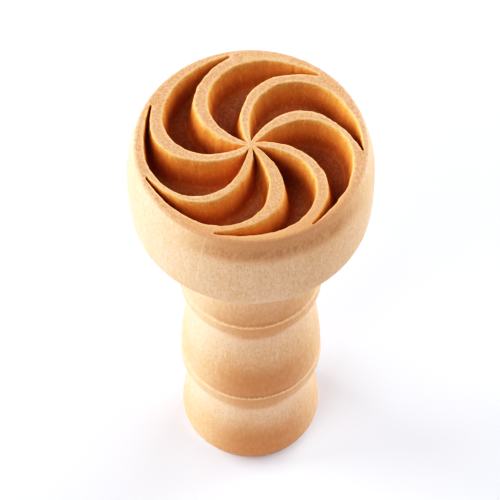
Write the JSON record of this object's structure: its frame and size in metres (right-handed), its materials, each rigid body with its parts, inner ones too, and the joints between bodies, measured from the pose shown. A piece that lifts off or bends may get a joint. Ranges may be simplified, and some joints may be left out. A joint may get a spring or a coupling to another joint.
{
  "type": "pottery stamp",
  "caption": "Round wooden clay stamp: a turned head whose flat face is carved with a pinwheel of curved ridges, glued on the tenon of a ringed, beaded handle that stands on its foot.",
  "frame": {"origin": "middle of the flat foot of the handle, on the surface that the stamp stands on", "axes": "+Z from the foot up the handle to the carved face, +X to the right and +Y to the back as the picture sees it"},
  "size_m": [0.027, 0.027, 0.054],
  "materials": {
    "head_wood": "fine-sanded pale hardwood, satin, warmer brown on the carved walls",
    "handle_wood": "fine-sanded hardwood, satin, golden, a little burnished under the rings"
  },
  "bodies": {
    "root": {"stamp_head": "head_wood", "handle": "handle_wood"}
  },
  "joints": []
}
